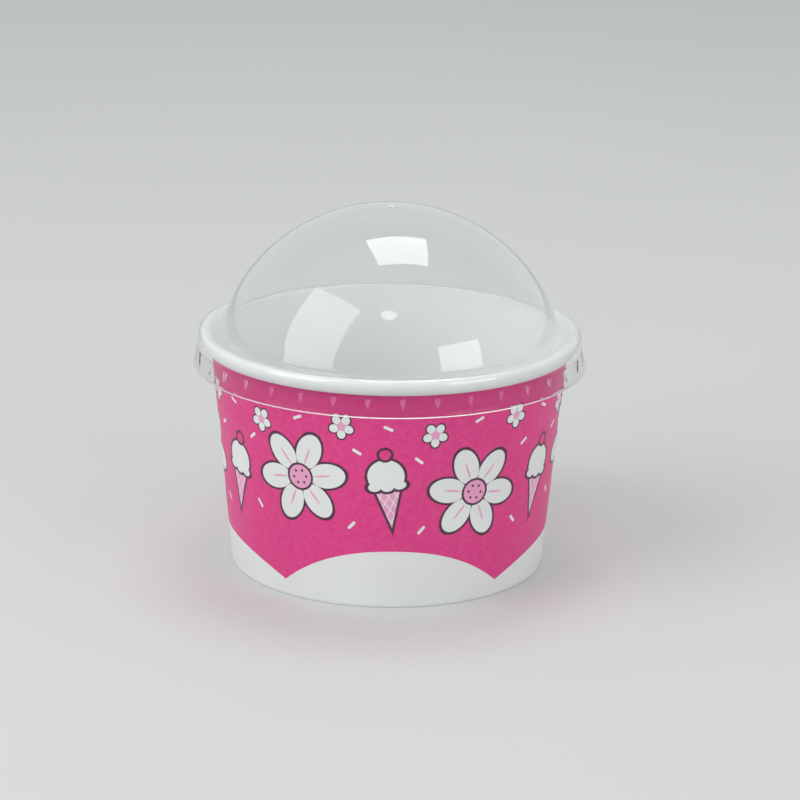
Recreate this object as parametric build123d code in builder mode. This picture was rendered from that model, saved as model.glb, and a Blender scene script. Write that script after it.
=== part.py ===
from build123d import *
import os
from math import acos, atan, cos, degrees, radians, sin, tan

# A paper dessert cup with a clear snap-on dome lid, in millimetres.
# The origin is the centre of the foot, on the table, and +Z points up.

# Driving dimensions of the paper cup
rim_diameter = 90.0
cup_height = 57.0
wall_taper = 5.43
wall_paper = 0.4
base_paper = 0.35
glue_gap = 0.05

# The rim: the wall's top edge, rolled outward
roll_width = 2.65
roll_height = 3.6
roll_turn = 315.0
roll_steps = 7

# The foot: the wall's lower edge, folded in and up to grip the turned-down edge of the base
hem_height = 6.5
fold_bevel = 0.25
base_bend = 0.3

# The side seam at the back: one end of the blank ramps up and lies over the other end
seam_overlap = 7.0
seam_ramp = 5.0
seam_direction = 90.0
seam_below_roll = 0.2

# Driving dimensions of the lid
lid_sheet = 0.3
dome_rise = 29.5
dome_end_rise = 5.1
neck_inset = 5.1
neck_lean = 0.96
cove = 1.1
seat_gap = 0.1
rim_clearance = 0.3
shoulder_radius = 1.4
shoulder_steps = 2
lid_drop = 8.5
skirt_draft = 5.5
flange_width = 0.7

# The lugs that catch under the rim: hollow wedges pushed in from outside, and
# the pip that the mould leaves on the dome
lug_count = 36
lug_direction = -86.0
lug_width = 1.6
lug_point = 0.1
lug_height = 2.9
lug_below_roll = 0.3
lug_clearance = 0.1
pip_diameter = 1.0
pip_height = 0.25

# Radii and levels of the cup
rim_radius = rim_diameter / 2
roll_radius = rim_radius - roll_width / 2
roll_level = cup_height - roll_height / 2
roll_underside = cup_height - roll_height
roll_angles = [180 - roll_turn * step / roll_steps for step in range(roll_steps + 1)]
wall_slope = tan(radians(wall_taper))
foot_radius = rim_radius - roll_width + wall_paper - wall_slope * roll_level

# Depths across the foot, measured inward from the wall's outer face
skirt_outset = wall_paper + glue_gap
skirt_inset = skirt_outset + base_paper
hem_outset = skirt_inset + glue_gap
hem_inset = hem_outset + wall_paper
base_level = hem_height + glue_gap
base_top = base_level + base_paper

# Radii and levels of the lid
ledge_level = cup_height + seat_gap + lid_sheet
neck_level = ledge_level + cove
neck_radius = rim_radius - neck_inset
dome_end_radius = neck_radius - neck_lean
dome_height = dome_rise - dome_end_rise
dome_radius = (dome_height**2 + dome_end_radius**2) / (2 * dome_height)
dome_centre = ledge_level + dome_rise - dome_radius
dome_end_angle = acos(1 - dome_height / dome_radius)
shoulder_centre = rim_radius + rim_clearance + lid_sheet - shoulder_radius
shoulder_level = ledge_level - shoulder_radius
lid_bottom = ledge_level - lid_drop
lug_top = roll_underside - lug_below_roll
lug_circle = rim_radius + lug_clearance + lug_width / 2
lug_taper = degrees(atan((lug_width - lug_point) / 2 * cos(radians(45)) / lug_height))
dent_width = lug_width - (lug_width - lug_point) * lid_sheet / lug_height


def wall_radius(level, inset=0.0):
    """Radius of the wall's outer face at a level, or of a layer inset from it."""
    return foot_radius + wall_slope * level - inset


def roll_point(angle, inset):
    """Point of the rolled rim's oval section, inset from its outer face."""
    across = roll_width / 2 - inset
    along = roll_height / 2 - inset
    return roll_radius + across * cos(radians(angle)), roll_level + along * sin(radians(angle))


def round_axis(radius, angle):
    """Point at a radius and a direction in degrees about the cup's axis."""
    return radius * cos(radians(angle)), radius * sin(radians(angle))


def dome_end(inset):
    """Point where the dome's sphere meets the neck, inset from the lid's outer face."""
    radius = dome_radius - inset
    return radius * sin(dome_end_angle), dome_centre + radius * cos(dome_end_angle)


def lid_skin(inset, bottom):
    """Points of the lid's section from the dome's end to the skirt's edge, inset from its outer face."""
    corner = inset * tan(radians(22.5))
    radius = shoulder_radius - inset
    turns = [radians(90 * step / shoulder_steps) for step in range(shoulder_steps + 1)]
    shoulder = [(shoulder_centre + radius * sin(a), shoulder_level + radius * cos(a)) for a in turns]
    skirt_radius = shoulder[-1][0] + (shoulder_level - bottom) * tan(radians(skirt_draft))
    return [
        dome_end(inset),
        (neck_radius - inset, neck_level - corner),
        (neck_radius + cove - corner, ledge_level - inset),
        *shoulder,
        (skirt_radius, bottom),
    ]


# Cup wall: the folded and rolled blank in section, turned about the axis
with BuildPart() as cup_wall:
    with BuildSketch(Plane.XZ):
        with BuildLine():
            Polyline(
                (wall_radius(wall_paper, wall_paper), wall_paper),
                *[roll_point(angle, 0) for angle in roll_angles],
                *[roll_point(angle, wall_paper) for angle in reversed(roll_angles)],
                (wall_radius(fold_bevel), fold_bevel),
                (wall_radius(0, fold_bevel), 0),
                (wall_radius(0, hem_inset - fold_bevel), 0),
                (wall_radius(fold_bevel, hem_inset), fold_bevel),
                (wall_radius(hem_height, hem_inset), hem_height),
                (wall_radius(hem_height, hem_outset), hem_height),
                (wall_radius(wall_paper, hem_outset), wall_paper),
                close=True,
            )
        make_face()
    revolve(axis=Axis.Z)

    # The seam's outer layer, with its ramp on one side and its cut edge on the other
    seam_top = roll_underside - seam_below_roll
    lap = degrees(seam_overlap / rim_radius)
    ramp = degrees(seam_ramp / rim_radius)
    for level in (fold_bevel, seam_top):
        buried = wall_radius(level, wall_paper / 2)
        raised = wall_radius(level, -wall_paper)
        with BuildSketch(Plane.XY.offset(level)):
            with BuildLine():
                CenterArc((0, 0), raised, seam_direction, lap)
                Line(round_axis(raised, seam_direction + lap), round_axis(buried, seam_direction + lap))
                CenterArc((0, 0), buried, seam_direction - ramp, lap + ramp)
                Polyline(
                    round_axis(buried, seam_direction - ramp),
                    round_axis(wall_radius(level), seam_direction - ramp),
                    round_axis(raised, seam_direction),
                )
            make_face()
    loft(ruled=True)

    # Inside, the blank's inner end stands proud of the ramp beside it
    for level in (base_top, seam_top):
        clear = wall_radius(level, 2 * wall_paper)
        with BuildSketch(Plane.XY.offset(level)):
            with BuildLine():
                Polyline(
                    round_axis(clear, seam_direction - ramp),
                    round_axis(wall_radius(level, wall_paper), seam_direction - ramp),
                    round_axis(wall_radius(level), seam_direction),
                    round_axis(clear, seam_direction),
                    close=True,
                )
            make_face()
    loft(ruled=True, mode=Mode.SUBTRACT)

# Cup base: a disc with its edge turned down into the fold of the foot
with BuildPart() as cup_base:
    with BuildSketch(Plane.XZ):
        with BuildLine():
            skirt_bottom = wall_paper + glue_gap
            Polyline(
                (0, base_level),
                (wall_radius(base_level, skirt_inset), base_level),
                (wall_radius(skirt_bottom, skirt_inset), skirt_bottom),
                (wall_radius(skirt_bottom, skirt_outset), skirt_bottom),
                (wall_radius(base_top - base_bend, skirt_outset), base_top - base_bend),
                (wall_radius(base_top, skirt_outset + base_bend), base_top),
                (0, base_top),
                close=True,
            )
        make_face()
    revolve(axis=Axis.Z)

# The room under the lid: the sheet's inner face, with the lugs standing into it
with BuildPart() as lid_room:
    with BuildSketch(Plane.XZ):
        with BuildLine():
            apex = (0, dome_centre + dome_radius - lid_sheet)
            skin = lid_skin(lid_sheet, lid_bottom - lid_sheet)
            RadiusArc(apex, skin[0], dome_radius - lid_sheet)
            Polyline(*skin, (0, lid_bottom - lid_sheet), apex)
        make_face()
    revolve(axis=Axis.Z)
    with BuildSketch(Plane.XY.offset(lug_top)):
        with PolarLocations(lug_circle, lug_count, lug_direction):
            RegularPolygon(lug_width / 2, 4)
    extrude(amount=-lug_height, taper=lug_taper, mode=Mode.SUBTRACT)

# Dome lid: one clear sheet, the outer form less the room inside it
with BuildPart() as dome_lid:
    with BuildSketch(Plane.XZ):
        with BuildLine():
            apex = (0, dome_centre + dome_radius)
            skin = lid_skin(0, lid_bottom + lid_sheet)
            RadiusArc(apex, skin[0], dome_radius)
            flange_radius = skin[-1][0] + flange_width
            Polyline(
                *skin,
                (flange_radius, lid_bottom + lid_sheet),
                (flange_radius, lid_bottom),
                (0, lid_bottom),
                apex,
            )
        make_face()
    revolve(axis=Axis.Z)
    with Locations((0, 0, dome_centre + dome_radius + pip_height)):
        Cylinder(pip_diameter / 2, pip_height + lid_sheet, align=(Align.CENTER, Align.CENTER, Align.MAX))
    with BuildSketch(Plane.XY.offset(lug_top - lid_sheet)):
        with PolarLocations(lug_circle + lid_sheet, lug_count, lug_direction):
            RegularPolygon(dent_width / 2, 4)
    extrude(amount=lid_sheet - lug_height, taper=lug_taper, mode=Mode.SUBTRACT)
    add(lid_room.part, mode=Mode.SUBTRACT)

cup_wall.part.label = "cup_wall"
cup_base.part.label = "cup_base"
dome_lid.part.label = "dome_lid"

os.makedirs("parts", exist_ok=True)
export_step(cup_wall.part, "parts/cup_wall.step")
export_step(cup_base.part, "parts/cup_base.step")
export_step(dome_lid.part, "parts/dome_lid.step")
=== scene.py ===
import bpy
from math import acos, atan2, cos, degrees, pi, radians, sin, sqrt, tan
from mathutils import Matrix, Vector


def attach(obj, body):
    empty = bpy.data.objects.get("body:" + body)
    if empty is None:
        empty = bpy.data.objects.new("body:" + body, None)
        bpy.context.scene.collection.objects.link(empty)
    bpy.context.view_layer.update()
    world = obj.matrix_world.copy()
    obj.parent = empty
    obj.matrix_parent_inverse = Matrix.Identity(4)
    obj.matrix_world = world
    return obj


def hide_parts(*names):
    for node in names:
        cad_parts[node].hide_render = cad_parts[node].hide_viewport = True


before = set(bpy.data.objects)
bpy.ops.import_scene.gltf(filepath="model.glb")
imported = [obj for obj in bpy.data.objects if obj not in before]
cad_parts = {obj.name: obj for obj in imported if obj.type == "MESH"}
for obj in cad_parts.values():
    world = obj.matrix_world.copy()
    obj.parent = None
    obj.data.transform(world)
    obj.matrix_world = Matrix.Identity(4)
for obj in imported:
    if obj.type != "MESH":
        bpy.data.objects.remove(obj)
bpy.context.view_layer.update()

MM = 0.001

# Sizes in millimetres, as in the part's source
rim_radius = 45.0
cup_height = 57.0
wall_paper = 0.4
base_paper = 0.35
glue_gap = 0.05
roll_width = 2.65
roll_height = 3.6
roll_turn = 315.0
hem_height = 6.5
seam_overlap = 7.0
seam_ramp = 5.0
seam_direction = 90.0
wall_taper = 5.43
lid_sheet = 0.3
dome_rise = 29.5
dome_end_rise = 5.1
neck_inset = 5.1
neck_lean = 0.96
cove = 1.1
seat_gap = 0.1
rim_clearance = 0.3
shoulder_radius = 1.4
lid_drop = 8.5
skirt_draft = 5.5
flange_width = 0.7
lug_count = 36
lug_direction = -86.0
lug_width = 1.6
lug_height = 2.9
lug_below_roll = 0.3
lug_clearance = 0.1
pip_radius = 0.5
pip_height = 0.25

# Forms that differ from the part's source, by less than 0.4 mm: the step inside the seam is pressed
# nearly flat, the bend at the neck's foot is tighter, and the dome runs into the neck in a wider bend,
# which starts at this share of its arc
pressed_step = 0.06
neck_bend = 0.5
plain_share = 0.8

roll_radius = rim_radius - roll_width / 2
roll_level = cup_height - roll_height / 2
roll_underside = cup_height - roll_height
wall_slope = tan(radians(wall_taper))
foot_radius = rim_radius - roll_width + wall_paper - wall_slope * roll_level
skirt_outset = wall_paper + glue_gap
skirt_inset = skirt_outset + base_paper
hem_outset = skirt_inset + glue_gap
hem_inset = hem_outset + wall_paper
base_level = hem_height + glue_gap
base_top = base_level + base_paper
ledge_level = cup_height + seat_gap + lid_sheet
neck_radius = rim_radius - neck_inset
dome_height = dome_rise - dome_end_rise
dome_radius = (dome_height ** 2 + (neck_radius - neck_lean) ** 2) / (2 * dome_height)
dome_centre = ledge_level + dome_rise - dome_radius
dome_end_angle = acos(1 - dome_height / dome_radius)
shoulder_centre = rim_radius + rim_clearance + lid_sheet - shoulder_radius
shoulder_level = ledge_level - shoulder_radius
skirt_slope = tan(radians(skirt_draft))
lid_bottom = ledge_level - lid_drop
flange_root = shoulder_centre + shoulder_radius + (shoulder_level - lid_bottom - lid_sheet) * skirt_slope
flange_radius = flange_root + flange_width
lug_top = roll_underside - lug_below_roll

# Directions about the axis, in degrees: the seam's ramp ends at seam_direction, and its cut edge is
# at seam_cut
ramp_turn = degrees(seam_ramp / rim_radius)
lap_turn = degrees(seam_overlap / rim_radius)
seam_start = seam_direction - ramp_turn
seam_cut = seam_direction + lap_turn
lug_turn = 360 / lug_count


def wall_radius(level, inset=0.0):
    """Radius of the wall's outer face at a level, or of a layer inset from it."""
    return foot_radius + wall_slope * level - inset


def face_place(face):
    """Radius and level of a face's centre, in millimetres."""
    centre = face.center
    return sqrt(centre.x ** 2 + centre.y ** 2) / MM, centre.z / MM


# Mesh tools
def spun(name, rings, angles, smooth_angle=40.0):
    """A closed surface through rings: for each angle in degrees, a closed section of (radius, level)."""
    count = len(rings[0])
    verts, faces = [], []
    poles, places = {}, {}
    for j, (ring, angle) in enumerate(zip(rings, angles)):
        for i, (r, z) in enumerate(ring):
            # A point on the axis is one vertex, which all sections share
            if r < 1e-6:
                if i not in poles:
                    poles[i] = len(verts)
                    verts.append((0, 0, z * MM))
            else:
                places[(j, i)] = len(verts)
                verts.append((r * cos(radians(angle)) * MM, r * sin(radians(angle)) * MM, z * MM))

    def index(j, i):
        return poles[i] if i in poles else places[(j, i)]

    for j in range(len(angles)):
        k = (j + 1) % len(angles)
        for i in range(count):
            n = (i + 1) % count
            corners = [index(j, i), index(j, n), index(k, n), index(k, i)]
            face = list(dict.fromkeys(corners))
            if len(face) >= 3:
                faces.append(face)
    mesh = bpy.data.meshes.new(name)
    mesh.from_pydata(verts, [], faces)
    outward = sum(face.center.dot(face.normal) * face.area for face in mesh.polygons)
    if outward < 0:
        mesh.flip_normals()
    mesh.validate()
    mesh.polygons.foreach_set("use_smooth", [True] * len(mesh.polygons))
    obj = bpy.data.objects.new(name, mesh)
    bpy.context.scene.collection.objects.link(obj)
    bpy.context.view_layer.objects.active = obj
    obj.select_set(True)
    bpy.ops.object.shade_smooth_by_angle(angle=radians(smooth_angle))
    obj.select_set(False)
    return obj


def arc(cx, cz, rx, rz, start, end, steps):
    """Points of an oval arc, angles in degrees from +R towards +Z."""
    turn = [radians(start + (end - start) * i / steps) for i in range(steps + 1)]
    return [(cx + rx * cos(a), cz + rz * sin(a)) for a in turn]


# Shader tools
class Nodes:
    """Short forms for building a material's node tree."""

    def __init__(self, name):
        self.material = bpy.data.materials.new(name)
        self.material.use_nodes = True
        self.tree = self.material.node_tree
        self.shader = self.tree.nodes["Principled BSDF"]
        self.output = self.tree.nodes["Material Output"]

    def math(self, kind, *values):
        node = self.tree.nodes.new("ShaderNodeMath")
        node.operation = kind
        for i, value in enumerate(values):
            self.put(node.inputs[i], value)
        return node.outputs[0]

    def put(self, socket, value):
        """Link a socket to a node's output, or set it to a plain value."""
        if isinstance(value, bpy.types.NodeSocket):
            self.tree.links.new(value, socket)
        else:
            socket.default_value = value

    def mix(self, share, first, second):
        node = self.tree.nodes.new("ShaderNodeMix")
        node.data_type = "RGBA"
        self.put(node.inputs[0], share)
        self.put(node.inputs[6], first)
        self.put(node.inputs[7], second)
        return node.outputs[2]

    def noise(self, scale, detail=3.0, vector=None):
        node = self.tree.nodes.new("ShaderNodeTexNoise")
        node.inputs["Scale"].default_value = scale
        node.inputs["Detail"].default_value = detail
        node.inputs["Roughness"].default_value = 0.55
        if vector is None:
            vector = self.tree.nodes.new("ShaderNodeTexCoord").outputs["Object"]
        self.tree.links.new(vector, node.inputs["Vector"])
        return node.outputs["Fac"]

    def span(self, value, low, high, start=0.0, end=1.0, smooth=False):
        """A value carried over from the span low to high to the span start to end, and held at its ends."""
        node = self.tree.nodes.new("ShaderNodeMapRange")
        if smooth:
            node.interpolation_type = "SMOOTHSTEP"
        self.put(node.inputs["Value"], value)
        node.inputs["From Min"].default_value = low
        node.inputs["From Max"].default_value = high
        node.inputs["To Min"].default_value = start
        node.inputs["To Max"].default_value = end
        return node.outputs["Result"]

    def bump(self, height, distance, strength):
        node = self.tree.nodes.new("ShaderNodeBump")
        node.inputs["Strength"].default_value = strength
        node.inputs["Distance"].default_value = distance
        self.tree.links.new(height, node.inputs["Height"])
        return node.outputs["Normal"]


def colour(r, g, b):
    """A linear colour from 0-255 screen values."""
    def line(c):
        c /= 255
        return c / 12.92 if c <= 0.04045 else ((c + 0.055) / 1.055) ** 2.4
    return (line(r), line(g), line(b), 1.0)


PINK = colour(222, 52, 132)
ROSE = colour(232, 160, 196)
WHITE = colour(228, 232, 229)
PLUM = colour(74, 30, 58)
PAPER = colour(226, 227, 226)


# The print
def print_colour(n):
    """Pink ground, scalloped white foot, and blossoms, cones and sprinkles as plain shapes.

    Lengths are in millimetres. phi is the direction about the axis in degrees, 0 in front, and has
    its jump at the seam's cut edge."""
    place = n.tree.nodes.new("ShaderNodeTexCoord").outputs["Object"]
    split = n.tree.nodes.new("ShaderNodeSeparateXYZ")
    n.tree.links.new(place, split.inputs[0])
    x, y, z = split.outputs
    level = n.math("MULTIPLY", z, 1 / MM)
    raw = n.math("MULTIPLY", n.math("ARCTAN2", x, n.math("MULTIPLY", y, -1.0)), degrees(1))
    first = seam_cut + 90 - 360
    phi = n.math("ADD", n.math("FLOORED_MODULO", n.math("SUBTRACT", raw, first), 360.0), first)

    def inside(distance):
        """1 where the distance to an edge is below 0, else 0, with a step that is 0.12 mm wide."""
        return n.span(distance, -0.06, 0.06, 1.0, 0.0, smooth=True)

    def outline(distance, half=0.24):
        """A line along an edge, of twice this half width."""
        return inside(n.math("SUBTRACT", n.math("ABSOLUTE", distance), half))

    def local(period, shift, height, stagger=0.0, tilt=0.0, scale=1.0):
        """Flat coordinates about the nearest motif of a row. By turns they differ in level and tilt."""
        cell = n.math("DIVIDE", n.math("SUBTRACT", phi, shift - period / 2), period)
        turn = n.math("MULTIPLY", n.math("SUBTRACT", n.math("FRACT", cell), 0.5), period)
        u = n.math("MULTIPLY", turn, radians(wall_radius(height)))
        v = n.math("SUBTRACT", level, height)
        odd = n.math("FLOORED_MODULO", n.math("FLOOR", cell), 2.0)
        odd = n.math("SUBTRACT", n.math("MULTIPLY", odd, 2.0), 1.0)
        if stagger:
            v = n.math("SUBTRACT", v, n.math("MULTIPLY", odd, stagger))
        if tilt:
            angle = n.math("MULTIPLY", odd, radians(tilt))
            c, s = n.math("COSINE", angle), n.math("SINE", angle)
            u, v = (
                n.math("ADD", n.math("MULTIPLY", u, c), n.math("MULTIPLY", v, s)),
                n.math("SUBTRACT", n.math("MULTIPLY", v, c), n.math("MULTIPLY", u, s)),
            )
        if scale != 1:
            u, v = n.math("DIVIDE", u, scale), n.math("DIVIDE", v, scale)
        return u, v

    def length(a, b):
        return n.math("SQRT", n.math("ADD", n.math("MULTIPLY", a, a), n.math("MULTIPLY", b, b)))

    def oval(u, v, cu, cv, ru, rv):
        """Roughly the distance to an oval's edge."""
        a = n.math("DIVIDE", n.math("SUBTRACT", u, cu), ru)
        b = n.math("DIVIDE", n.math("SUBTRACT", v, cv), rv)
        return n.math("MULTIPLY", n.math("SUBTRACT", length(a, b), 1.0), min(ru, rv))

    def folded(u, v, petals, turned=0.0):
        """Coordinates along and across the nearest petal, and the distance from the blossom's middle."""
        rho = length(u, v)
        share = 2 * pi / petals
        theta = n.math("ARCTAN2", v, u)
        theta = n.math("FLOORED_MODULO", n.math("ADD", theta, share / 2 + turned), share)
        theta = n.math("SUBTRACT", theta, share / 2)
        along = n.math("MULTIPLY", rho, n.math("COSINE", theta))
        across = n.math("MULTIPLY", rho, n.math("SINE", theta))
        return along, across, rho

    paint = PINK

    # White scallops along the foot: high ones in front and behind, wider and lower ones at the sides.
    # Each has half its width in degrees and its rise above the points between them.
    scallop_middle, cusp = 1.8, 4.0
    high_half, high_rise = 40.2, 10.3
    low_half, low_rise = 49.8, 5.9
    turned = n.math("FLOORED_MODULO", n.math("SUBTRACT", phi, scallop_middle - 180), 360.0)
    turned = n.math("ABSOLUTE", n.math("SUBTRACT", turned, 180.0))
    near = n.math("MINIMUM", turned, n.math("SUBTRACT", 180.0, turned))
    fall = n.math("POWER", n.math("DIVIDE", near, high_half), 2.2)
    high = n.math("SUBTRACT", cusp + high_rise, n.math("MULTIPLY", fall, high_rise))
    fall = n.math("POWER", n.math("DIVIDE", n.math("SUBTRACT", 90.0, near), low_half), 2.6)
    low = n.math("SUBTRACT", cusp + low_rise, n.math("MULTIPLY", fall, low_rise))
    edge = n.math("MAXIMUM", high, low)
    paint = n.mix(inside(n.math("SUBTRACT", level, edge)), paint, WHITE)

    # Sprinkles, behind the other motifs: rounded strips
    strip_half, strip_round = 0.85, 0.36
    for period, shift, height, tilt, stagger in (
        (60.0, 10.0, 37.6, 38.0, 0.6),
        (60.0, 50.0, 38.4, -30.0, 0.6),
        (60.0, 11.5, 20.6, -52.0, 1.0),
        (60.0, 48.0, 19.6, 48.0, 1.0),
        (30.0, 0.0, 45.4, 24.0, 0.4),
    ):
        u, v = local(period, shift, height, stagger=stagger, tilt=tilt)
        run = n.math("MAXIMUM", n.math("SUBTRACT", n.math("ABSOLUTE", u), strip_half), 0.0)
        strip = n.math("SUBTRACT", length(run, v), strip_round)
        paint = n.mix(inside(strip), paint, WHITE)

    # Large blossoms, each with veins, an eye and dots in it
    u, v = local(60.0, 30.0, 29.5, stagger=1.6, tilt=9.0, scale=1.14)
    p, q, rho = folded(u, v, 6)
    petal = oval(p, q, 6.1, 0.0, 4.3, 2.9)
    vein = inside(oval(p, q, 5.1, 0.0, 1.9, 0.22))
    eye = n.math("SUBTRACT", rho, 2.75)
    dots = inside(n.math("SUBTRACT", length(n.math("SUBTRACT", p, 1.45), q), 0.28))
    paint = n.mix(inside(n.math("SUBTRACT", petal, 0.1)), paint, WHITE)
    paint = n.mix(vein, paint, ROSE)
    paint = n.mix(outline(petal), paint, PLUM)
    paint = n.mix(inside(eye), paint, ROSE)
    paint = n.mix(outline(eye), paint, PLUM)
    paint = n.mix(dots, paint, PLUM)

    # Cones between them: the wafer and its crossed lines, the scoop with its lip, and a berry on top
    u, v = local(60.0, 0.0, 28.6, stagger=-1.2, tilt=-7.0, scale=1.3)
    slant = radians(17.0)
    side = n.math(
        "SUBTRACT",
        n.math("MULTIPLY", n.math("ABSOLUTE", u), cos(slant)),
        n.math("MULTIPLY", n.math("ADD", v, 8.2), sin(slant)),
    )
    cone = n.math("MAXIMUM", side, n.math("SUBTRACT", v, 0.8))
    lines = []
    for kind in ("ADD", "SUBTRACT"):
        line = n.math("FRACT", n.math("DIVIDE", n.math(kind, u, n.math("MULTIPLY", v, 0.6)), 1.5))
        lines.append(n.math("ABSOLUTE", n.math("SUBTRACT", line, 0.5)))
    wafer = n.math("MINIMUM", *lines)
    paint = n.mix(inside(cone), paint, ROSE)
    paint = n.mix(n.math("MULTIPLY", inside(n.math("SUBTRACT", wafer, 0.06)), inside(cone)), paint, WHITE)
    paint = n.mix(outline(cone), paint, PLUM)
    scoop = n.math("MAXIMUM", oval(u, v, 0.0, 2.6, 3.5, 3.4), n.math("SUBTRACT", 0.2, v))
    lip = oval(n.math("ABSOLUTE", u), v, 2.2, 0.7, 1.5, 1.05)
    scoop = n.math("MINIMUM", scoop, lip)
    scoop = n.math("MINIMUM", scoop, oval(u, v, 0.0, 0.6, 1.5, 1.15))
    paint = n.mix(inside(scoop), paint, WHITE)
    paint = n.mix(outline(scoop), paint, PLUM)
    berry = oval(u, v, 0.3, 6.7, 1.25, 1.2)
    paint = n.mix(inside(berry), paint, PINK)
    paint = n.mix(outline(berry), paint, PLUM)

    # Small blossoms under the rim
    u, v = local(30.0, 15.0, 44.0, stagger=0.9, scale=1.05)
    p, q, rho = folded(u, v, 5, turned=pi / 2)
    petal = oval(p, q, 1.75, 0.0, 1.25, 1.1)
    paint = n.mix(inside(petal), paint, WHITE)
    paint = n.mix(outline(petal, 0.16), paint, PLUM)
    paint = n.mix(inside(n.math("SUBTRACT", rho, 0.95)), paint, ROSE)

    return paint, place


def printed_paper():
    """Coated paper with the print, a fine grain and a soft mottle in colour and gloss."""
    n = Nodes("printed_paper")
    paint, place = print_colour(n)
    grain = n.noise(900.0, 4.0, place)
    mottle = n.noise(60.0, 3.0, place)
    shade = n.mix(n.span(mottle, 0.35, 0.65, 0.0, 0.05), paint, colour(120, 60, 90))
    shade = n.mix(n.span(grain, 0.3, 0.7, 0.0, 0.05), shade, WHITE)
    n.put(n.shader.inputs["Base Color"], shade)
    n.put(n.shader.inputs["Roughness"], n.span(mottle, 0.3, 0.7, 0.34, 0.46))
    n.shader.inputs["Specular IOR Level"].default_value = 0.3
    n.put(n.shader.inputs["Normal"], n.bump(grain, 0.00002, 0.35))
    return n.material


def plain_paper(name, tone, rough):
    """Coated paper with no print."""
    n = Nodes(name)
    grain = n.noise(700.0, 4.0)
    mottle = n.noise(45.0, 3.0)
    darker = tuple(0.965 * c for c in tone[:3]) + (1.0,)
    shade = n.mix(n.span(mottle, 0.3, 0.7), tone, darker)
    shade = n.mix(n.span(grain, 0.35, 0.65, 0.0, 0.04), shade, colour(170, 168, 165))
    n.put(n.shader.inputs["Base Color"], shade)
    n.put(n.shader.inputs["Roughness"], n.span(mottle, 0.3, 0.7, rough - 0.04, rough + 0.05))
    n.shader.inputs["Specular IOR Level"].default_value = 0.3
    n.put(n.shader.inputs["Normal"], n.bump(grain, 0.00002, 0.3))
    return n.material


def clear_plastic(name, smoothest, roughest, clear=1.0, ior=1.5, tint=0.97, passed=0.94, coat=0.0):
    """Thin clear sheet: Principled glass with a faint haze and ripple.

    Shadow rays go straight through it, and passed is the share of lamp light that each face lets by.
    So do rays that have been reflected and bent more often than most_turns."""
    n = Nodes(name)
    n.shader.inputs["Base Color"].default_value = (tint, tint + 0.01, tint + 0.008, 1.0)
    n.shader.inputs["Transmission Weight"].default_value = clear
    n.shader.inputs["IOR"].default_value = ior
    n.shader.inputs["Coat Weight"].default_value = coat
    haze = n.noise(120.0, 3.0)
    n.put(n.shader.inputs["Roughness"], n.span(haze, 0.3, 0.7, smoothest, roughest))
    ripple = n.noise(22.0, 1.5)
    n.put(n.shader.inputs["Normal"], n.bump(ripple, 0.0004, 0.12))
    most_turns = 5.0
    path = n.tree.nodes.new("ShaderNodeLightPath")
    shadow_ray = path.outputs["Is Shadow Ray"]
    trapped = n.math("GREATER_THAN", path.outputs["Ray Depth"], most_turns)
    through = n.tree.nodes.new("ShaderNodeBsdfTransparent")
    passed_colour = (passed, passed + 0.01, passed + 0.01, 1.0)
    n.put(through.inputs["Color"], n.mix(shadow_ray, (1.0, 1.0, 1.0, 1.0), passed_colour))
    both = n.tree.nodes.new("ShaderNodeMixShader")
    n.put(both.inputs[0], n.math("MAXIMUM", shadow_ray, trapped))
    n.put(both.inputs[1], n.shader.outputs[0])
    n.put(both.inputs[2], through.outputs[0])
    n.put(n.output.inputs["Surface"], both.outputs[0])
    return n.material


# The cup's wall: levels of its section, and those between which the seam fades out under the roll
wall_levels = [0.8, 2, 4, 6.5, 10, 15, 20, 25, 30, 35, 40, 45, 49, 51, 52.2, 53.0, 53.6, 54.2, 54.8]
fade_start, fade_end = 52.6, 54.0
roll_steps = 30
foot_bend = 0.35


def wall_ring(angle):
    """Section of the paper wall at one angle: outer face, roll, inner face and the foot's fold."""
    behind = (angle - seam_direction + 180) % 360 - 180
    proud, hollow = 0.0, 0.0
    if -ramp_turn <= behind < 0:
        proud = wall_paper * (behind + ramp_turn) / ramp_turn
        hollow = pressed_step * (behind + ramp_turn) / ramp_turn
    elif 0 <= behind <= lap_turn:
        proud = wall_paper

    def left(z):
        """Share of the seam's steps that is left at a level."""
        return max(0.0, min(1.0, (fade_end - z) / (fade_end - fade_start)))

    # Up the outside of the wall, from the bend at the foot's edge
    ring = [
        (wall_radius(0, foot_bend * 0.4), foot_bend * 0.12),
        (wall_radius(foot_bend * 0.4, 0.05), foot_bend * 0.4),
    ]
    for z in wall_levels:
        ring.append((wall_radius(z) + proud * left(z) * min(1.0, z / wall_levels[0]), z))
    # Round the roll's hidden inner face to its free end, and back over its outer face
    across, along, free_end = roll_width / 2, roll_height / 2, 180 - roll_turn
    ring += arc(roll_radius, roll_level, across - wall_paper, along - wall_paper, 180, free_end, roll_steps)
    ring += arc(roll_radius, roll_level, across, along, free_end, 180, roll_steps)
    # Down the inside to the base, and round the fold that grips it
    for z in reversed([z for z in wall_levels if z >= base_top]):
        ring.append((wall_radius(z, wall_paper) + hollow * left(z), z))
    ring += [
        (wall_radius(base_top, wall_paper), base_top - 0.1),
        (wall_radius(wall_paper, wall_paper), wall_paper),
        (wall_radius(wall_paper, hem_outset), wall_paper),
        (wall_radius(hem_height, hem_outset), hem_height),
        (wall_radius(hem_height, hem_inset), hem_height),
        (wall_radius(foot_bend, hem_inset), foot_bend),
        (wall_radius(foot_bend * 0.3, hem_inset - foot_bend * 0.15), foot_bend * 0.3),
        (wall_radius(0, hem_inset - foot_bend * 0.5), 0.0),
        (wall_radius(0, foot_bend * 0.9), 0.0),
    ]
    return ring


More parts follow.
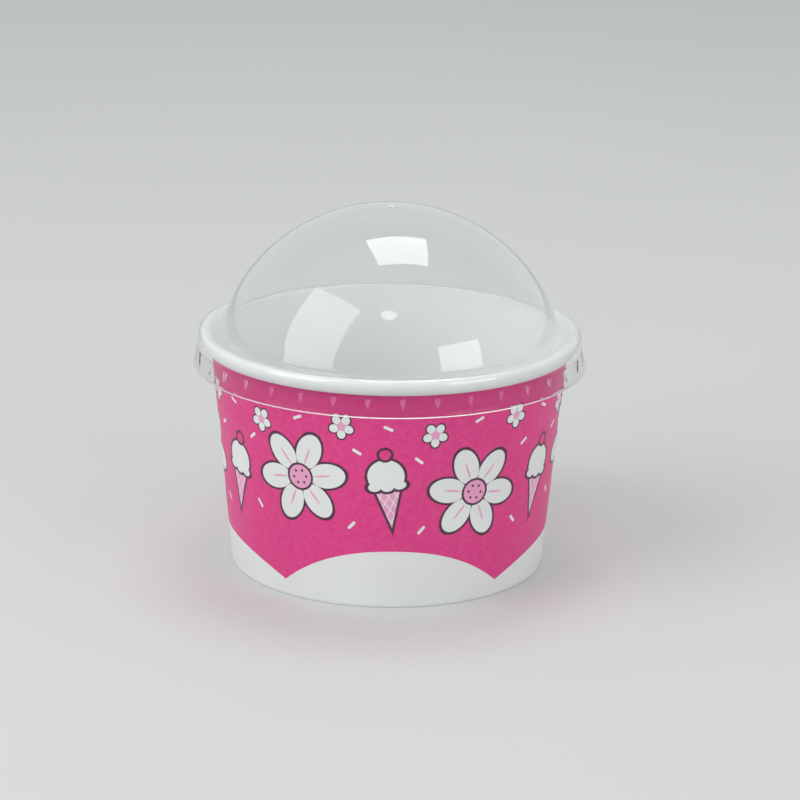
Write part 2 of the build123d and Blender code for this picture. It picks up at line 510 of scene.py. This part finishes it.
# Sections every 1.5 degrees, and closer ones where the seam has its steps
wall_angles = [i * 1.5 for i in range(240)]
wall_angles = [a for a in wall_angles if not seam_start - 1 < a < seam_cut + 1]
wall_angles += [seam_start - 0.6, seam_start]
wall_angles += [seam_start + ramp_turn * i / 5 for i in range(1, 5)]
wall_angles += [seam_direction + off for off in (-0.02, 0.0, 1.5, 4.0, 6.5)]
wall_angles += [seam_cut + off for off in (-0.6, 0.0, 0.03, 0.7)]
wall_angles.sort()
cup = spun("paper_wall", [wall_ring(a) for a in wall_angles], wall_angles, 50.0)

# Material slots: printed outside, plain white inside and on the roll
PRINTED, PLAIN = range(2)
cup.data.materials.append(printed_paper())
cup.data.materials.append(plain_paper("coated_paper", PAPER, 0.36))
print_inset = 0.12
print_radius = roll_radius - roll_width / 2 + 0.75
print_top = roll_level - 0.9
for face in cup.data.polygons:
    r, z = face_place(face)
    faces_out = face.normal.x * face.center.x + face.normal.y * face.center.y > 0
    on_wall = wall_radius(z) - print_inset < r < print_radius and z < print_top
    face.material_index = PRINTED if faces_out and on_wall else PLAIN
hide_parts("cup_wall")
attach(cup, "cup")

# The cup's base: the disc, the bend at its edge and the edge turned down into the fold
skirt_bottom = wall_paper + glue_gap
base_ring = [
    (0.0, base_level),
    (wall_radius(base_level, skirt_inset + 0.5), base_level),
    (wall_radius(base_level, skirt_inset + 0.15), base_level - 0.04),
    (wall_radius(base_level - 0.3, skirt_inset), base_level - 0.3),
    (wall_radius(skirt_bottom, skirt_inset), skirt_bottom),
    (wall_radius(skirt_bottom, skirt_outset), skirt_bottom),
    (wall_radius(base_top - 0.45, skirt_outset), base_top - 0.45),
    (wall_radius(base_top - 0.2, skirt_outset + 0.06), base_top - 0.2),
    (wall_radius(base_top, skirt_outset + 0.3), base_top - 0.04),
    (wall_radius(base_top, skirt_outset + 0.55), base_top),
    (wall_radius(base_top, skirt_outset + 6.0), base_top),
    (0.0, base_top),
]
base_angles = [i * 2.5 for i in range(144)]
base = spun("paper_base", [base_ring for a in base_angles], base_angles, 35.0)
base.data.materials.append(plain_paper("base_paper", PAPER, 0.4))
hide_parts("cup_base")
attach(base, "cup")


# The lid: steps along its section, and a point in the middle of the ledge
dome_steps, blend_steps, bend_steps, shoulder_steps = 22, 12, 6, 7
ledge_middle = 42.6


def lid_line(inset):
    """Section of one skin of the sheet, from the pole down to the shoulder."""
    radius = dome_radius - inset
    apex = dome_centre + radius
    line = [(0.0, apex)]
    if not inset:
        # The pip stands on the outer skin only
        line = [
            (0.0, apex + pip_height),
            (pip_radius * 0.4, apex + pip_height * 0.92),
            (pip_radius * 0.75, apex + pip_height * 0.66),
            (pip_radius, apex + pip_height * 0.3),
            (pip_radius * 1.3, apex + pip_height * 0.05),
            (pip_radius * 1.7, apex - 0.01),
        ]
    blend_start = dome_end_angle * plain_share
    for i in range(1, dome_steps + 1):
        a = blend_start * i / dome_steps
        line.append((radius * sin(a), dome_centre + radius * cos(a)))
    # The dome runs into the neck in one smooth bend, inside the corner where the dome's tangent meets
    # the neck's line
    end = line[-1]
    neck_top = (radius * sin(dome_end_angle), dome_centre + radius * cos(dome_end_angle))
    neck = (neck_radius - inset, ledge_level + cove - inset * tan(radians(22.5)))
    fall = (neck[0] - neck_top[0], neck[1] - neck_top[1])
    gap = (neck_top[0] - end[0], neck_top[1] - end[1])
    slant = cos(blend_start) * fall[1] + sin(blend_start) * fall[0]
    reach = (gap[0] * fall[1] - gap[1] * fall[0]) / slant
    corner = (end[0] + reach * cos(blend_start), end[1] - reach * sin(blend_start))
    for step in range(1, blend_steps + 1):
        t = step / blend_steps
        line.append(tuple(
            (1 - t) ** 2 * end[k] + 2 * t * (1 - t) * corner[k] + t * t * neck[k] for k in (0, 1)
        ))
    # The bend at the neck's foot touches the neck's line and the ledge
    lean = atan2(neck_lean, dome_end_rise - cove)
    bend_centre = neck_radius + ((cove - neck_bend) * sin(lean) + neck_bend) / cos(lean)
    bend = neck_bend + inset
    line += arc(bend_centre, ledge_level + neck_bend, bend, bend, 180 + degrees(lean), 270, bend_steps)
    # Ledge and shoulder
    line.append((ledge_middle, ledge_level - inset))
    bend = shoulder_radius - inset
    line += arc(shoulder_centre, shoulder_level, bend, bend, 90, 0, shoulder_steps)
    return line


def skirt_radius(level, inset):
    """Radius of the skirt's outer face at a level, or of a layer inset from it."""
    return shoulder_centre + shoulder_radius - inset + (shoulder_level - level) * skirt_slope


def beside_lug(angle):
    """Distance sideways from the middle of the nearest lug to a direction in degrees."""
    off = (angle - lug_direction + lug_turn / 2) % lug_turn - lug_turn / 2
    return radians(off) * (rim_radius + 0.5)


skirt_levels = [55.0, 54.0, 53.35, 53.1, 52.8, 52.2, 51.5, 50.9, 50.4, 50.1, 49.75]


def lug_depth(level, off):
    """How far the sheet is pushed in at a level, off millimetres to the side of a lug's middle."""
    share = (level - (lug_top - lug_height)) / lug_height
    if level > lug_top or share <= 0:
        return 0.0
    # A wedge, wide and deep at its top and narrow below, whose top edge is rounded off
    half = lug_width / 2 * share
    deep = skirt_radius(level, lid_sheet) - (rim_radius + lug_clearance + (1 - share) * lug_width / 2)
    crest = min(1.0, 0.45 + (lug_top - level) / 0.6)
    return crest * max(0.0, deep) * max(0.0, 1 - abs(off) / max(half, 0.02))


def lid_ring(angle):
    """Section of the lid at one angle: down the outer skin, round the flange and up the inner skin."""
    side = beside_lug(angle)
    ring = []
    for inset in (0.0, lid_sheet):
        line = lid_line(inset)
        for z in skirt_levels:
            line.append((skirt_radius(z, inset) - lug_depth(z + inset * 0.5, side), z))
        if inset:
            line += [
                (skirt_radius(lid_bottom, inset) + 0.04, lid_bottom + 0.42),
                (skirt_radius(lid_bottom, inset) + 0.2, lid_bottom + 0.1),
                (skirt_radius(lid_bottom, inset) + 0.45, lid_bottom),
            ]
            line = line[::-1]
        else:
            line += [
                (skirt_radius(lid_bottom, inset) + 0.06, lid_bottom + 0.42),
                (skirt_radius(lid_bottom, inset) + 0.2, lid_bottom + 0.31),
                (flange_radius - 0.15, lid_bottom + 0.3),
                (flange_radius - 0.03, lid_bottom + 0.24),
                (flange_radius, lid_bottom + 0.15),
                (flange_radius - 0.03, lid_bottom + 0.06),
                (flange_radius - 0.15, lid_bottom),
            ]
        ring += line
    return ring


# Sections close together across each lug, and wider apart between lugs
lug_offsets = [-3.4, -1.9, -1.0, -0.8, -0.55, -0.3, -0.1, 0.0, 0.1, 0.3, 0.55, 0.8, 1.0, 1.9, 3.4, 5.0]
lid_angles = sorted(
    (lug_direction + lug_turn * k + off) % 360 for k in range(lug_count) for off in lug_offsets
)
lid = spun("clear_lid", [lid_ring(a) for a in lid_angles], lid_angles, 30.0)

# Material slots. The plastic that lies close over paper is less refractive and passes less lamp
# light than the dome, which keeps the paper under it from coming out too bright. The skirt below the
# roll is also tinted darker, partly for the sheet's losses at a slant and partly as painted shade of
# the roll over the pink band under it.
SHEET, LUG, EDGE, SKIRT, LEDGE = range(5)
near_paper = 1.18
# Spans of roughness: of the sheet as formed, where it is drawn into lugs, and where it is cut
smooth, drawn, cut = (0.015, 0.045), (0.08, 0.14), (0.3, 0.4)
for material in (
    clear_plastic("clear_plastic", *smooth),
    clear_plastic("drawn_plastic", *drawn, clear=0.95, ior=near_paper, tint=0.99, passed=0.6),
    clear_plastic("cut_edge", *cut, clear=0.45),
    # Tinted darker: partly the sheet's losses, partly painted shade of the roll over the band below it
    clear_plastic("skirt_plastic_painted_shade", *smooth, ior=near_paper, tint=0.86, passed=0.4),
    clear_plastic("ledge_plastic", *smooth, ior=near_paper, passed=0.64, coat=0.6),
):
    lid.data.materials.append(material)
for face in lid.data.polygons:
    r, z = face_place(face)
    side = beside_lug(degrees(atan2(face.center.y, face.center.x)))
    on_pip = r < pip_radius * 1.3 and z > dome_centre + dome_radius
    on_rim = r > flange_radius - 0.16 and z < lid_bottom + 0.32
    on_lug = rim_radius < r < skirt_radius(z, 0) + 0.1 and lug_depth(z, side) > 0.03
    if on_pip or on_rim:
        face.material_index = EDGE
    elif on_lug:
        face.material_index = LUG
    # The skirt from just above the roll's underside down gets the darker plastic, as painted shade of the
    # roll
    elif r > rim_radius - 0.5 and z < roll_underside + 0.8:
        face.material_index = SKIRT
    elif z < ledge_level + cove:
        face.material_index = LEDGE
    else:
        face.material_index = SHEET
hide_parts("dome_lid")
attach(lid, "lid")


# Floor, light and camera
def floor_material():
    """Pale matt paint with a soft variation and a fine texture."""
    n = Nodes("floor_paint")
    soft = n.noise(3.0, 2.0)
    fine = n.noise(260.0, 3.0)
    shade = n.mix(n.span(soft, 0.3, 0.7), colour(215, 217, 214), colour(219, 220, 218))
    n.put(n.shader.inputs["Base Color"], shade)
    n.shader.inputs["Roughness"].default_value = 0.75
    n.shader.inputs["Specular IOR Level"].default_value = 0.25
    n.put(n.shader.inputs["Normal"], n.bump(fine, 0.00005, 0.2))
    return n.material


def flat_floor(size):
    """A square floor at level 0, its side in metres."""
    mesh = bpy.data.meshes.new("floor")
    s = size / 2
    mesh.from_pydata([(-s, -s, 0), (s, -s, 0), (s, s, 0), (-s, s, 0)], [], [(0, 1, 2, 3)])
    obj = bpy.data.objects.new("floor", mesh)
    bpy.context.scene.collection.objects.link(obj)
    obj.data.materials.append(floor_material())
    return obj


flat_floor(12.0)

# The point that the lamps face
middle = Vector((0, 0, 0.045))


def soft_lamp(name, toward, distance, width, height, power, spin=0.0, shape="RECTANGLE"):
    """A flat lamp that faces the middle of the object from a direction, turned by spin degrees."""
    lamp = bpy.data.lights.new(name, "AREA")
    lamp.shape = shape
    lamp.size, lamp.size_y = width, height
    lamp.energy = power
    obj = bpy.data.objects.new(name, lamp)
    bpy.context.scene.collection.objects.link(obj)
    direction = Vector(toward).normalized()
    look = (-direction).to_track_quat("-Z", "Y").to_matrix().to_4x4()
    turn = Matrix.Rotation(radians(spin), 4, "Z")
    obj.matrix_world = Matrix.Translation(middle + direction * distance) @ look @ turn


# Sizes and distances in metres, power in watts
soft_lamp("top_lamp", (0.065, 0.297, 0.953), 0.9, 0.39, 0.39, 1.55, spin=21.8)
soft_lamp("left_lamp", (-0.737, -0.449, 0.504), 0.95, 0.66, 1.05, 4.15, spin=6.7)
soft_lamp("right_lamp", (0.736, -0.631, 0.246), 1.0, 0.52, 0.48, 2.0, spin=-4.3)
soft_lamp("front_lamp", (-0.013, -0.540, 0.842), 0.9, 0.14, 0.12, 0.12, shape="ELLIPSE")


def studio_world(lighting, seen):
    """A plain sky that lights at one strength and shows, also in gloss and through glass, at another."""
    world = bpy.data.worlds.new("world")
    bpy.context.scene.world = world
    world.use_nodes = True
    tree = world.node_tree
    sky = tree.nodes["Background"]
    sky.inputs["Color"].default_value = (0.95, 0.97, 1.0, 1.0)
    path = tree.nodes.new("ShaderNodeLightPath")
    shows = path.outputs["Is Camera Ray"]
    for ray in ("Is Glossy Ray", "Is Transmission Ray"):
        either = tree.nodes.new("ShaderNodeMath")
        either.operation = "MAXIMUM"
        tree.links.new(shows, either.inputs[0])
        tree.links.new(path.outputs[ray], either.inputs[1])
        shows = either.outputs[0]
    strength = tree.nodes.new("ShaderNodeMapRange")
    tree.links.new(shows, strength.inputs["Value"])
    strength.inputs["To Min"].default_value = lighting
    strength.inputs["To Max"].default_value = seen
    tree.links.new(strength.outputs["Result"], sky.inputs["Strength"])


studio_world(lighting=0.58, seen=0.75)

# The camera stands where the photograph was taken from, and shows the point aim at the pixel aim_pixel
image_size = 800
sensor = 36.0
focal_pixels = 3362.0
elevation = radians(17.84)
camera_lean = radians(0.81)
camera_distance = 0.81
aim = Vector((0, 0, 0.027))
aim_pixel = (388.9, 448.1)
data = bpy.data.cameras.new("camera")
data.sensor_width = sensor
data.lens = focal_pixels / image_size * sensor
data.clip_start = 0.01
camera = bpy.data.objects.new("camera", data)
bpy.context.scene.collection.objects.link(camera)
stand = aim + camera_distance * Vector((0, -cos(elevation), sin(elevation)))
yaw = atan2(image_size / 2 - aim_pixel[0], focal_pixels)
pitch = atan2(aim_pixel[1] - image_size / 2, focal_pixels)
view = Matrix.Rotation(pi / 2 - elevation, 4, "X")
for angle, axis in ((-yaw, "Y"), (pitch, "X"), (camera_lean, "Z")):
    view = view @ Matrix.Rotation(angle, 4, axis)
camera.matrix_world = Matrix.Translation(stand) @ view
bpy.context.scene.camera = camera
bpy.context.scene.view_settings.view_transform = "Standard"
